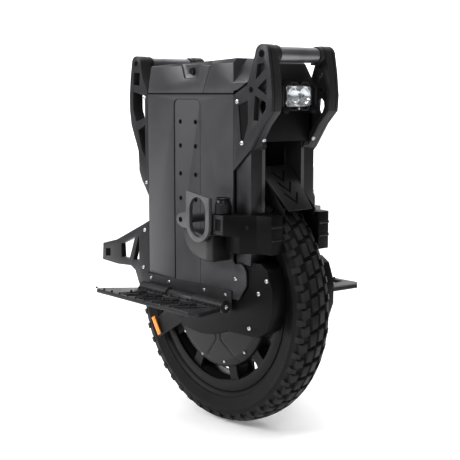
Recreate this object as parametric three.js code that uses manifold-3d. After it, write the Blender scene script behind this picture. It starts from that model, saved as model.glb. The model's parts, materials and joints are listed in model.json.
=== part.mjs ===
// Suspension electric unicycle: one driven wheel in a sprung chassis with folding pedals.
// Millimetres, +Z up, axle along X, front towards -Y; the tyre touches the ground at the origin.
import * as THREE from "three";
import { mergeVertices } from "three/addons/utils/BufferGeometryUtils.js";
import Module from "manifold-3d";

const wasm = await Module();
wasm.setup();

// ---- driving dimensions ----
const GAP = 0.4; // between pieces that touch on the real object

const TYRE_RADIUS = 252;
const TYRE_HALF_WIDTH = 40;
const TYRE_SEGMENTS = 72;
const AXLE_Z = TYRE_RADIUS * Math.cos(Math.PI / TYRE_SEGMENTS); // a facet of the tyre lies on z = 0
const RIM_FLANGE_RADIUS = 188;
const RIM_BARREL_RADIUS = 177;
const RIM_INNER_RADIUS = 168;
const MOTOR_RADIUS = 140;
const RIM_SEGMENTS = 48;
const SPOKE_PAIRS = 5;
const SPOKE_FIRST_DEG = -31.5; // middle of the first pair, from straight down towards the rear
const SPOKE_SPREAD_DEG = 15.5; // from the middle of a pair to either spoke
const SPOKE = { depth: 34, width: 26 };

const TRAVEL = 70; // of the suspension
const BODY_HALF = 84; // outer face of the side panels and arms
const SKIN = 3.4; // side panel thickness
const INNER_HALF = 46; // inner face of the battery boxes, clear of the tyre
const BODY_FRONT = -110;
const BODY_REAR = 150;
const PANEL_BOTTOM = 271;
const SEAM_Z = 647; // joint between side panels and top covers
const ARM_INNER = 60;
const ARM_WEB = { inner: 72, outer: 75.5 }; // wall in a front arm, between its open sides

const LEG = { inner: 45.6, outer: 80, front: -154, rear: -114, bottom: 338, top: 566 };
const ARM_FOOT_Z = 509;
const FRONT_BAR = { y: -185, z: 717, radius: 14 };
const REAR_BAR = { y: 188, z: 708, radius: 12 };
const LAMP_PIVOT = { y: -158, z: 655 };

const HINGE = { x: 97, z: 257, radius: 9.5, pin: 4 };
const PEDAL = { inner: 13, outer: 122, front: -157, rear: 153, top: -1, under: -8.5, tiltDeg: 7 };
const SHOCK = { x: 63, y: 129, spring: 14, body: 9, rod: 5 };

// ---- materials ----
const paint = (color, roughness, metalness = 0) =>
  new THREE.MeshStandardMaterial({ color, roughness, metalness });
const PANEL = paint(0x2b2c2f, 0.5, 0.3);
const CAST = paint(0x26272a, 0.55, 0.4);
const BLACK = paint(0x111213, 0.6);
const RUBBER = paint(0x141414, 0.9);
const STEEL = paint(0xb8babd, 0.3, 1);
const ALLOY = paint(0x55575b, 0.4, 0.9);
const LENS = paint(0xe8eef2, 0.05);
const AMBER = paint(0xf08a18, 0.25);
const COPPER = paint(0x9a5a33, 0.5, 0.8);
const BATTERY = paint(0x1f3f5a, 0.6);

// ---- solids ----
function solidOf(geometry) {
  const bare = geometry.clone();
  bare.deleteAttribute("normal");
  bare.deleteAttribute("uv");
  const merged = mergeVertices(bare, 1e-3);
  return new wasm.Manifold(
    new wasm.Mesh({
      numProp: 3,
      vertProperties: merged.attributes.position.array,
      triVerts: new Uint32Array(merged.index.array),
    }),
  );
}

function geometryOf(solid, mirrored = false) {
  const mesh = solid.getMesh();
  const positions = Float32Array.from(mesh.vertProperties);
  const triangles = Uint32Array.from(mesh.triVerts);
  if (mirrored) {
    for (let i = 0; i < positions.length; i += 3) positions[i] *= -1;
    for (let i = 0; i < triangles.length; i += 3) {
      [triangles[i + 1], triangles[i + 2]] = [triangles[i + 2], triangles[i + 1]];
    }
  }
  const geometry = new THREE.BufferGeometry();
  geometry.setAttribute("position", new THREE.BufferAttribute(positions, 3));
  geometry.setIndex(new THREE.BufferAttribute(triangles, 1));
  geometry.computeVertexNormals();
  return geometry;
}

const X = new THREE.Vector3(1, 0, 0);
const Y = new THREE.Vector3(0, 1, 0);
const Z = new THREE.Vector3(0, 0, 1);
// Each plate's outline lies in the plane across its axis: [y, z] along X, [x, z] along Y, [x, y] along Z.
const PLANES = {
  x: { basis: [Y, Z, X], point: ([y, z]) => new THREE.Vector2(y, z) },
  y: { basis: [Z, X, Y], point: ([x, z]) => new THREE.Vector2(z, x) },
  z: { basis: [X, Y, Z], point: ([x, y]) => new THREE.Vector2(x, y) },
};

function plate(axis, outline, from, to, holes = []) {
  const { basis, point } = PLANES[axis];
  const shape = new THREE.Shape(outline.map(point));
  const geometry = new THREE.ExtrudeGeometry(shape, { depth: to - from, bevelEnabled: false });
  geometry.translate(0, 0, from);
  geometry.applyMatrix4(new THREE.Matrix4().makeBasis(...basis));
  return cut(solidOf(geometry), ...holes.map((hole) => plate(axis, hole, from - 1, to + 1)));
}

function box(x0, x1, y0, y1, z0, z1) {
  const geometry = new THREE.BoxGeometry(x1 - x0, y1 - y0, z1 - z0);
  geometry.translate((x0 + x1) / 2, (y0 + y1) / 2, (z0 + z1) / 2);
  return solidOf(geometry);
}

function arc(a, b, radius, fromDeg, toDeg, steps = 8) {
  return Array.from({ length: steps + 1 }, (_, i) => {
    const angle = THREE.MathUtils.degToRad(fromDeg + ((toDeg - fromDeg) * i) / steps);
    return [a + radius * Math.cos(angle), b + radius * Math.sin(angle)];
  });
}

const disc = (a, b, radius, sides = 24) => arc(a, b, radius, 0, 360 - 360 / sides, sides - 1);

// A turned piece about an axis along X at (y, z); the profile is a closed list of [radius, x].
function turned(profile, y, z, segments = 48) {
  const points = [...profile, profile[0]].map(([r, x]) => new THREE.Vector2(r, x));
  const geometry = new THREE.LatheGeometry(points, segments, Math.PI / segments);
  geometry.rotateZ(-Math.PI / 2);
  geometry.translate(0, y, z);
  return solidOf(geometry);
}

const ring = (inner, outer, x0, x1, y, z, segments) =>
  turned(
    [
      [inner, x0],
      [outer, x0],
      [outer, x1],
      [inner, x1],
    ],
    y,
    z,
    segments,
  );

const joined = (first, ...rest) => rest.reduce((sum, piece) => sum.add(piece), first);
const cut = (first, ...rest) => rest.reduce((left, piece) => left.subtract(piece), first);

// ---- assembly ----
const unicycle = new THREE.Group();
unicycle.name = "electric_unicycle";

function put(name, solid, material, mirrored = false) {
  const mesh = new THREE.Mesh(geometryOf(solid, mirrored), material);
  mesh.name = name;
  unicycle.add(mesh);
}

// The solid is made for the rider's left (+X) and mirrored for the right.
function putPair(name, solid, material) {
  put(name + "_left", solid, material);
  put(name + "_right", solid, material, true);
}

// ---- wheel: tyre, cast rim, hub motor ----
function tyre() {
  const half = [
    [RIM_BARREL_RADIUS + 2, 22],
    [RIM_BARREL_RADIUS + 2, 26.2],
    [RIM_FLANGE_RADIUS + 1, 26.2],
    [208, 38.5],
    [230, TYRE_HALF_WIDTH],
    [245, 36],
    [TYRE_RADIUS, 16],
  ];
  const profile = [...half.map(([r, x]) => [r, -x]), ...half.reverse()];
  return turned(profile, 0, AXLE_Z, TYRE_SEGMENTS);
}

function rim() {
  const barrel = turned(
    [
      [RIM_INNER_RADIUS, -29],
      [RIM_FLANGE_RADIUS, -29],
      [RIM_FLANGE_RADIUS, -26.7],
      [RIM_BARREL_RADIUS, -26.7],
      [RIM_BARREL_RADIUS, 26.7],
      [RIM_FLANGE_RADIUS, 26.7],
      [RIM_FLANGE_RADIUS, 29],
      [RIM_INNER_RADIUS, 29],
    ],
    0,
    AXLE_Z,
    RIM_SEGMENTS,
  );
  const drum = ring(129, MOTOR_RADIUS, -23.6, 23.6, 0, AXLE_Z, RIM_SEGMENTS);
  const spokes = [];
  for (let pair = 0; pair < SPOKE_PAIRS; pair++) {
    for (const side of [-1, 1]) {
      const turn = SPOKE_FIRST_DEG + (360 * pair) / SPOKE_PAIRS + side * SPOKE_SPREAD_DEG;
      const length = RIM_INNER_RADIUS - MOTOR_RADIUS + 6;
      const spoke = new THREE.BoxGeometry(SPOKE.depth, SPOKE.width, length);
      spoke.translate(0, 0, -(MOTOR_RADIUS + RIM_INNER_RADIUS) / 2);
      spoke.rotateX(THREE.MathUtils.degToRad(turn));
      spoke.translate(0, 0, AXLE_Z);
      spokes.push(solidOf(spoke));
    }
  }
  return joined(barrel, drum, ...spokes);
}

put("tyre", tyre(), RUBBER);
put("rim", rim(), CAST);
put("magnet_ring", ring(118, 128.4, -20, 20, 0, AXLE_Z, RIM_SEGMENTS), STEEL);
putPair(
  "motor_cover",
  turned(
    [
      [26.4, 24],
      [MOTOR_RADIUS, 24],
      [MOTOR_RADIUS, 28],
      [126, 33],
      [60, 39],
      [26.4, 39],
    ],
    0,
    AXLE_Z,
    RIM_SEGMENTS,
  ),
  BLACK,
);
putPair("bearing", ring(10.4, 26, 26, 38, 0, AXLE_Z, 24), STEEL);

// ---- carriage: what stays with the axle when the suspension moves ----
put("axle", turned([[0, -79.4], [10, -79.4], [10, 79.4], [0, 79.4]], 0, AXLE_Z, 24), STEEL);
put("stator", ring(10.4, 112, -18, 18, 0, AXLE_Z, 36), COPPER);

// Closed cover beside the wheel that carries the axle, the fork leg and the shock rod.
function axleHousing() {
  const outline = [
    [-112.4, LEG.bottom - GAP],
    [-154, LEG.bottom - GAP],
    [-158, 345],
    [-180, 345],
    [-198, 334],
    [-211, 300],
    [-211, 258],
    [-198, 224],
    [-172, 207],
    [-86, 205],
    [-50, 192],
    [-12, 187],
    [30, 190],
    [58, 199],
    [86, 216],
    [150, 258],
    [150, 280],
    [112, 280],
    [112, 274],
    [-112.4, 274],
  ];
  const body = plate("x", outline, 46.5, 79.7, [disc(0, AXLE_Z, 10.4)]);
  const stay = plate("x", [[40, 215], [82, 190], [168, 140], [186, 170], [100, 240]], 46.5, 49.5);
  return joined(body, stay);
}
putPair("axle_housing", axleHousing(), BLACK);

putPair("fork_leg", box(LEG.inner, LEG.outer, LEG.front, LEG.rear, LEG.bottom, LEG.top), ALLOY);

// Clamp round the front and outer faces of a fork leg, with a seat for the reservoir.
function clamp() {
  const front = [
    [46, -201],
    [73, -201],
    [80, -168],
    [104, -150],
  ];
  const legSide = [
    [LEG.outer + GAP, -112],
    [LEG.outer + GAP, LEG.front - GAP],
    [46, LEG.front - GAP],
  ];
  const upper = [...front, [124.5, -130], [124.5, -92], [86, -92], [86, -112], ...legSide];
  const lower = [...front, [104, -112], ...legSide];
  return joined(plate("z", upper, 394, 432), plate("z", lower, 362, 395));
}
putPair("fork_clamp", clamp(), CAST);

function reservoir() {
  const profile = [
    [0, 0],
    [16, 0],
    [16, 24],
    [12, 30],
    [0, 30],
  ].map(([r, z]) => new THREE.Vector2(r, z));
  const geometry = new THREE.LatheGeometry(profile, 24);
  geometry.rotateX(Math.PI / 2);
  geometry.translate(108, -109, 432.4);
  return solidOf(geometry);
}
putPair("shock_reservoir", reservoir(), BLACK);

put("fork_brace", box(-45.2, 45.2, -136, -118, 479, 499), CAST);

function mudguard() {
  const side = [
    [-118.5, 499.4],
    [-118.5, 515],
    [-129, 515],
    [-201, 440],
    [-198.6, 437.6],
    [-136.5, 502.6],
    [-136.5, 499.4],
  ];
  const above = [
    [-40, -118],
    [40, -118],
    [40, -150],
    [30, -202],
    [-30, -202],
    [-40, -150],
  ];
  return plate("x", side, -40, 40).intersect(plate("z", above, 430, 520));
}
put("mudguard", mudguard(), BLACK);

const marker = [[156, 152], [166, 146], [188, 180], [178, 186]];
putPair("side_marker", plate("x", marker, 50, 53), AMBER);

// ---- shock absorbers, behind the batteries ----
function upright(radius, z0, z1, bore = 0) {
  const profile = [[bore, z0], [radius, z0], [radius, z1], [bore, z1], [bore, z0]];
  const points = profile.map(([r, z]) => new THREE.Vector2(r, z));
  const geometry = new THREE.LatheGeometry(points, 16);
  geometry.rotateX(Math.PI / 2);
  geometry.translate(SHOCK.x, SHOCK.y, 0);
  return solidOf(geometry);
}
const SEAT_LOW = 292;
const SEAT_HIGH = 470;
const flange = (z0, z1) => upright(SHOCK.spring, z0, z1);
putPair(
  "shock_rod",
  joined(upright(SHOCK.rod, 280.4, 500), flange(SEAT_LOW - 4, SEAT_LOW)),
  STEEL,
);
putPair(
  "shock_body",
  joined(
    upright(SHOCK.body, 392, 600, SHOCK.rod + GAP),
    upright(SHOCK.spring, SEAT_HIGH, SEAT_HIGH + 5, SHOCK.rod + GAP),
  ),
  BLACK,
);
putPair(
  "shock_spring",
  upright(SHOCK.spring, SEAT_LOW + GAP, SEAT_HIGH - GAP, SHOCK.body + 1),
  STEEL,
);

// ---- chassis: battery boxes, side panels, arms ----
putPair(
  "battery_box",
  box(INNER_HALF, BODY_HALF - SKIN - GAP, -109, 109, 352, SEAM_Z - 1.4),
  BATTERY,
);

// Side panel with a shallow vertical recess; its lower front corner swells over the housing.
function sidePanel() {
  const outline = [
    [BODY_FRONT, SEAM_Z - GAP],
    [BODY_FRONT, 342],
    ...arc(-126, 320, 20, 60, 180, 5),
    [-146, 300],
    [-124, PANEL_BOTTOM],
    [BODY_REAR, PANEL_BOTTOM],
    [BODY_REAR, SEAM_Z - GAP],
  ];
  const strip = [
    [-15, 285],
    [65, 285],
    ...arc(53, 626, 12, 0, 90, 4),
    ...arc(-3, 626, 12, 90, 180, 4),
  ];
  const recess = plate("x", strip, BODY_HALF - 1.2, BODY_HALF + 1);
  return cut(plate("x", outline, BODY_HALF - SKIN, BODY_HALF), recess);
}
putPair("side_panel", sidePanel(), PANEL);

// Front arm from the bar down to the foot that the fork leg slides into: a web with triangular
// pockets outside and one deep pocket inside, and a wide rim along its front.
function frontArm() {
  const outline = [
    [BODY_FRONT - GAP, ARM_FOOT_Z],
    [BODY_FRONT - GAP, 646],
    [-122, 651],
    [-148, 664],
    ...arc(FRONT_BAR.y, FRONT_BAR.z, 17, 0, 180, 10),
    [-208, 684],
    [-212, 645],
    [-210, 617],
    [-186, 592],
    [-157, 549],
    [-128, 524],
  ];
  const windows = [
    [[-170, 673], [-194, 691], [-191, 702], [-174, 699]],
    [[-174, 658], [-197, 675], [-198, 645]],
    [[-168, 645], [-197, 633], [-196, 622], [-176, 600], [-164, 602]],
    [[-124, 628], [-149, 636], [-150, 596], [-139, 566], [-130, 566]],
  ];
  const pocket = [
    [-113, 566],
    [-113, 700],
    [-190, 700],
    [-199, 684],
    [-202.5, 645],
    [-200.5, 620],
    [-178, 597],
    [-152, 566],
  ];
  const inside = cut(
    plate("x", pocket, ARM_INNER - 1, ARM_WEB.inner),
    plate("x", disc(LAMP_PIVOT.y, LAMP_PIVOT.z, 8), ARM_INNER - 2, BODY_HALF),
    plate("x", disc(FRONT_BAR.y, FRONT_BAR.z, 19), ARM_INNER - 2, BODY_HALF),
  );
  const slots = [
    disc(-179, 683, 3.6, 12),
    [
      [-186, 653],
      [-172, 653],
      [-172, 656],
      [-186, 656],
    ],
    [
      [-179, 641],
      [-172, 634],
      [-171, 625],
      [-176, 614],
      [-179, 610],
      [-183, 615],
      [-187, 625],
      [-186, 634],
    ],
  ];
  const foot = [
    [BODY_FRONT - GAP, ARM_FOOT_Z],
    [BODY_FRONT - GAP, 560],
    [-160, 560],
    [-160, 553],
    [-128, 524],
  ];
  const front = [[43.6, 500], [BODY_HALF, 500], [BODY_HALF, 600], [ARM_INNER, 600], [43.6, 540]];
  return cut(
    joined(
      plate("x", outline, ARM_INNER, BODY_HALF),
      plate("x", foot, 43.6, ARM_INNER + 1).intersect(plate("y", front, -170, -100)),
    ),
    inside,
    ...windows.map((hole) => plate("x", hole, ARM_WEB.outer, BODY_HALF + 1)),
    ...slots.map((hole) => plate("x", hole, ARM_WEB.inner - 1, ARM_WEB.outer + 1)),
    box(40, LEG.outer + 0.6, LEG.front - 0.6, LEG.rear + 0.6, 480, LEG.top + TRAVEL + 4),
  );
}
putPair("front_arm", frontArm(), CAST);

function rearArm() {
  const edge = BODY_REAR + GAP;
  const outline = [
    [edge, 445],
    [172, 474],
    [181, 493],
    [184, 534],
    [207, 584],
    [212, 615],
    [212, 645],
    [208, 680],
    ...arc(REAR_BAR.y, REAR_BAR.z, 15, 0, 180, 8),
    [166, 676],
    [edge, 652],
  ];
  const windows = [
    [[176, 690], [196, 690], [199, 666], [178, 664]],
    [[160, 644], [200, 652], [200, 616], [190, 592], [160, 600]],
    [[160, 586], [184, 574], [172, 536], [160, 520]],
  ];
  return plate("x", outline, ARM_INNER, BODY_HALF, windows);
}
putPair("rear_arm", rearArm(), CAST);

function gripBar({ y, z, radius }) {
  const end = ARM_INNER - GAP;
  const collar = radius + 2.5;
  const profile = [
    [0, -end],
    [collar, -end],
    [collar, 10 - end],
    [radius, 10 - end],
    [radius, end - 10],
    [collar, end - 10],
    [collar, end],
    [0, end],
  ];
  return turned(profile, y, z, 20);
}
put("front_bar", gripBar(FRONT_BAR), ALLOY);
put("rear_bar", gripBar(REAR_BAR), ALLOY);

// ---- top housing over the controller ----
const COVER_HALF = BODY_HALF - 0.5;
const COVER_BOTTOM = SEAM_Z + 2.6;
put(
  "top_tray",
  box(-COVER_HALF, COVER_HALF, BODY_FRONT + 0.5, BODY_REAR - 0.5, SEAM_Z, SEAM_Z + 2.2),
  BLACK,
);

// Shell from a side outline and a chamfered front outline, open at the bottom.
function shell(side, top, half, wall) {
  const front = (h, z) => [[-h, 600], [h, 600], [h, z - 9], [h - 8, z], [8 - h, z], [-h, z - 9]];
  const solid = plate("x", side, -half, half).intersect(plate("y", front(half, top), -200, 200));
  const inside = front(half - wall, top - wall);
  return { solid, hollow: plate("y", inside, -200, 200) };
}

function frontCover() {
  const side = [
    [-22.4, COVER_BOTTOM],
    [-50.4, 709],
    [BODY_FRONT + GAP, 712],
    [BODY_FRONT + GAP, COVER_BOTTOM],
  ];
  const inner = [[-14, 640], [-43, 706], [-106, 708], [-106, 640]];
  const { solid, hollow } = shell(side, 712, COVER_HALF, 3);
  const main = cut(solid, hollow.intersect(plate("x", inner, -COVER_HALF + 3, COVER_HALF - 3)));
  return joined(main, nose());
}

// Wedge in front of the cover, wide behind the arms and narrow between them.
function nose() {
  const middle = [
    [-109, COVER_BOTTOM],
    [-109, 711],
    [-142, 711],
    [-150, 702],
    [-150, 668],
    [-113, COVER_BOTTOM],
  ];
  const wings = [
    [-109, 653],
    [-109, 711],
    [-142, 711],
    [-150, 702],
    [-149, 670],
    [-121, 655.5],
  ];
  const front = [
    [-COVER_HALF, 640],
    [COVER_HALF, 640],
    [COVER_HALF, 668],
    [58, 704],
    [50, 711],
    [-50, 711],
    [-58, 704],
    [-COVER_HALF, 668],
  ];
  const whole = joined(plate("x", middle, -57, 57), plate("x", wings, -COVER_HALF, COVER_HALF));
  return whole.intersect(plate("y", front, -160, -100));
}
put("top_cover_front", frontCover(), PANEL);

const BUTTON = { y: 12, z: 690, radius: 6.5 };
function rearCover() {
  const side = [
    [-21.6, COVER_BOTTOM],
    [-49.6, 709],
    [36, 706],
    [138, 702],
    [BODY_REAR - 0.5, COVER_BOTTOM + 3],
    [BODY_REAR - 0.5, COVER_BOTTOM],
  ];
  const inner = [[-30, 640], [-56, 705.8], [36, 703], [135, 699], [146, 656], [146, 640]];
  const pocket = [[-24, 712], [-9, 677], [33, 677], [45, 712]];
  const { solid, hollow } = shell(side, 709, COVER_HALF, 3);
  const hole = BUTTON.radius + GAP;
  return cut(
    solid,
    hollow.intersect(plate("x", inner, -COVER_HALF + 8, COVER_HALF - 8)),
    plate("x", pocket, COVER_HALF - 4, COVER_HALF + 1),
    plate("x", pocket, -COVER_HALF - 1, -COVER_HALF + 4),
    turned([[0, -90], [hole, -90], [hole, -70], [0, -70]], BUTTON.y, BUTTON.z, 24),
  );
}
put("top_cover_rear", rearCover(), PANEL);

put(
  "power_button",
  turned(
    [[0, -COVER_HALF + 1], [BUTTON.radius, -COVER_HALF + 1], [BUTTON.radius, -70.5], [0, -70.5]],
    BUTTON.y,
    BUTTON.z,
    24,
  ),
  STEEL,
);

// Finned aluminium block that cools the controller.
function heatSink() {
  const base = box(-58, 58, -96, 96, 652, 660);
  const fins = Array.from({ length: 8 }, (_, i) => box(-56 + i * 15, -50 + i * 15, -96, 96, 659, 694));
  return joined(base, ...fins);
}
put("controller_heat_sink", heatSink(), ALLOY);

// ---- black liners between the battery boxes ----
// The front panel steps down beside the middle, clear of the headlight's cheeks as they tilt.
const frontPanel = [
  [-ARM_INNER + GAP, 562],
  [ARM_INNER - GAP, 562],
  [ARM_INNER - GAP, 634],
  [34, 634],
  [34, 643],
  [-34, 643],
  [-34, 634],
  [-ARM_INNER + GAP, 634],
];
put("front_panel", plate("y", frontPanel, -161.5, -158), BLACK);

const PORT = { half: 14, z0: 566, z1: 594 };
const rearPanel = box(-ARM_INNER + GAP, ARM_INNER - GAP, BODY_REAR + GAP, BODY_REAR + 4, 532, 650);
put(
  "rear_panel",
  cut(rearPanel, box(-PORT.half, PORT.half, 140, 160, PORT.z0, PORT.z1)),
  BLACK,
);
put("charge_port_cover", box(-19, 19, BODY_REAR + 4.4, BODY_REAR + 8, PORT.z0 - 5, PORT.z1 + 5), RUBBER);

// Arch over the highest place that the tyre reaches.
function wheelLiner() {
  const centre = AXLE_Z + TRAVEL;
  const arch = (radius) => arc(0, centre, radius, 56.5, 114, 20);
  return plate("x", [...arch(262), ...arch(259).reverse()], -45.4, 45.4);
}
put("wheel_liner", wheelLiner(), BLACK);

// ---- headlight, tilting between the front arms ----
const LAMP = { front: -197, rear: -172, z0: 613, z1: 674, half: 44 };
function headlight() {
  const claw = (sx, sz) => [
    [sx * 26, sz * 22],
    [sx * 30, sz * 30.5],
    [sx * 40, sz * 30.5],
    [sx * LAMP.half, sz * 22],
    [sx * 38, sz * 14],
  ];
  const centre = (LAMP.z0 + LAMP.z1) / 2;
  const lift = (points) => points.map(([x, z]) => [x, z + centre]);
  const body = [[-37, -16], [-28, -26], [28, -26], [37, -16], [37, 16], [28, 26], [-28, 26], [-37, 16]];
  const face = [[-32, -19], [32, -19], [32, 19], [-32, 19]];
  const claws = [
    [1, 1],
    [1, -1],
    [-1, 1],
    [-1, -1],
  ].map(([sx, sz]) => plate("y", lift(claw(sx, sz)), LAMP.front, LAMP.rear - 2));
  const cheek = [
    [-186, 634],
    [-186, 650],
    ...arc(LAMP_PIVOT.y, LAMP_PIVOT.z, 7, 100, -60, 8),
    [-172, 634],
  ];
  const bracket = (x0, x1) => plate("x", cheek, x0, x1);
  const stub = (x0, x1) =>
    turned([[0, x0], [4.5, x0], [4.5, x1], [0, x1]], LAMP_PIVOT.y, LAMP_PIVOT.z, 20);
  return cut(
    joined(
      plate("y", lift(body), LAMP.front + 4, LAMP.rear),
      ...claws,
      bracket(36, 42),
      bracket(-42, -36),
      stub(41, ARM_INNER - GAP),
      stub(GAP - ARM_INNER, -41),
    ),
    plate("y", lift(face), LAMP.front - 1, LAMP.front + 12),
  );
}
put("headlight_housing", headlight(), BLACK);
put("headlight_lens", box(-31.6, 31.6, LAMP.front + 6, LAMP.front + 11.6, 624.9, 662.1), LENS);

// ---- leg pads and lashing plate on the side panels ----
const PAD_OUTER = 125;
const pad = [
  [BODY_HALF + GAP, -100],
  [PAD_OUTER, -100],
  [PAD_OUTER, -84],
  [90, 30],
  [BODY_HALF + GAP, 30],
];
putPair("leg_pad", plate("z", pad, 343, 391), BLACK);

function lashingPlate() {
  const outline = [
    ...arc(-67, 410, 33, 180, 360, 10),
    [-34, 471],
    [-100, 461],
  ];
  const slot = [...arc(-67, 410, 23, 180, 360, 10), ...arc(-67, 438, 23, 0, 180, 10)];
  const lug = [[-36, 400], [-16, 402], ...arc(-16, 415, 12, -90, 90, 6), [-36, 432]];
  return joined(
    plate("x", outline, -134, -126, [slot]),
    plate("x", lug, -133, -127),
    plate("x", disc(-16, 415, 8), -130, -BODY_HALF - GAP),
  );
}
put("lashing_plate", lashingPlate(), ALLOY);

// ---- rear brackets ----
function rearBracket() {
  const outline = [
    [BODY_REAR + 1, 238],
    [BODY_REAR + 1, 392],
    [168, 384],
    [266, 341],
    [318, 328],
    [321, 292],
    [262, 289],
    [216, 292],
    [200, 284],
    [180, 244],
  ];
  const windows = [
    [[186, 360], [186, 306], [206, 306]],
    [[220, 306], [200, 354], [250, 334], [250, 306]],
  ];
  const tip = [[262, 290], [321, 293], [318, 327], [266, 340]];
  return joined(plate("x", outline, 74, BODY_HALF, windows), plate("x", tip, 62, 75));
}
putPair("rear_bracket", rearBracket(), CAST);

// ---- folding pedals ----
const knuckle = (y0, y1, radius = HINGE.radius) =>
  plate("y", disc(HINGE.x, HINGE.z, radius, 20), y0, y1);
const pinHole = knuckle(-200, 200, HINGE.pin + GAP);

function pedalBracket() {
  const web = (y0, y1) => box(BODY_HALF + 2, HINGE.x, y0, y1, HINGE.z - 8, HINGE.z + 8);
  return cut(
    joined(
      box(BODY_HALF + GAP, BODY_HALF + 3, -108, 157, 246, 286),
      web(65, 155),
      knuckle(65, 155),
      web(-105, -14),
      knuckle(-105, -14),
    ),
    pinHole,
    box(BODY_HALF + 3.4, 120, -13.8, 64.8, 240, 275),
  );
}
putPair("pedal_bracket", pedalBracket(), CAST);
putPair("hinge_pin", knuckle(-106, 156, HINGE.pin), STEEL);

// Trussed pedal frame, flat in [x, y] from the hinge outwards and tipped up about the hinge.
function pedal() {
  const outline = [
    [PEDAL.inner, -13],
    [PEDAL.inner, PEDAL.front + 52],
    [PEDAL.outer - 14, PEDAL.front],
    [PEDAL.outer, PEDAL.front + 12],
    [PEDAL.outer, PEDAL.rear - 12],
    [PEDAL.outer - 12, PEDAL.rear],
    [PEDAL.inner, PEDAL.rear],
    [PEDAL.inner, 64],
    [0, 64],
    [0, -13],
  ];
  const cells = 8;
  const first = -96;
  const pitch = 26;
  const windows = Array.from({ length: cells }, (_, i) => {
    const y = first + i * pitch;
    const [base, apex] = i % 2 ? [28, 108] : [112, 32];
    return [[base, y - 19], [base, y + 19], [apex, y]];
  });
  const place = ([x, y]) => [HINGE.x + x, y];
  const flat = plate(
    "z",
    outline.map(place),
    HINGE.z + PEDAL.under,
    HINGE.z + PEDAL.top,
    windows.map((hole) => hole.map(place)),
  );
  const tipped = geometryOf(flat);
  tipped.deleteAttribute("normal");
  tipped.translate(-HINGE.x, 0, -HINGE.z);
  tipped.rotateY(THREE.MathUtils.degToRad(-PEDAL.tiltDeg));
  tipped.translate(HINGE.x, 0, HINGE.z);
  return cut(joined(solidOf(tipped), knuckle(-13, 64)), pinHole);
}
putPair("pedal", pedal(), CAST);

export default unicycle;
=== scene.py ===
"""Looks of the suspension electric unicycle: materials, tread, rim, lamp, screws and bevelled shells."""

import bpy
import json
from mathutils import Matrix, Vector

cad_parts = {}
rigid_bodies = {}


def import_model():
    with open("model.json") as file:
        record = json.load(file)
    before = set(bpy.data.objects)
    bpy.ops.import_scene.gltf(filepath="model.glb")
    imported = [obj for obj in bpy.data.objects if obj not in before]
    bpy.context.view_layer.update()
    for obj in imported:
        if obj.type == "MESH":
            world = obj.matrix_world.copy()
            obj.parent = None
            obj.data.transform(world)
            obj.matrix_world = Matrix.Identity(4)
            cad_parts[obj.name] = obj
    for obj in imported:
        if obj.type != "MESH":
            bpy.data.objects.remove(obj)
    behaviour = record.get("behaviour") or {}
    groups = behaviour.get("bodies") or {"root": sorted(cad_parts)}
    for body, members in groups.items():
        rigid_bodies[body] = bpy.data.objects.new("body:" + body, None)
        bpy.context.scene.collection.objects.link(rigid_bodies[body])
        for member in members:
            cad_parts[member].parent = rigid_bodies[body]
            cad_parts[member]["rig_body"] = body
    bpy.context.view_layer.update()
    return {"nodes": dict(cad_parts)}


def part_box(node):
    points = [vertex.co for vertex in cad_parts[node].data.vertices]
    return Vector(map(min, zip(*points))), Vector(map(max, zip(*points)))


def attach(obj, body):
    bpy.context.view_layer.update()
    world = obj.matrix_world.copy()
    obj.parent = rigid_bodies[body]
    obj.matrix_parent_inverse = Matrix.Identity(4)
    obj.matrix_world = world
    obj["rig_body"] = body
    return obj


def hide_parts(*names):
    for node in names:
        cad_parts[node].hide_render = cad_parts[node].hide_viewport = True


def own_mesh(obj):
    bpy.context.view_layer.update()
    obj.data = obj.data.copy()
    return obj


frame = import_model()

import json
import math

import bmesh
import bpy
from mathutils import Matrix, Vector

MM = 0.001
TAU = 2 * math.pi
NODES = frame["nodes"]
SIDES = {"left": 1, "right": -1}


# ---------------------------------------------------------------- materials
CLOUD_SCALE = 22.0
GLOSS_SPREAD = 0.07
GRAIN_DEPTH = 0.0004
# Pointiness range over which sharp edges get a painted highlight.
PAINTED_HIGHLIGHT_EDGE = (0.505, 0.60)


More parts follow.
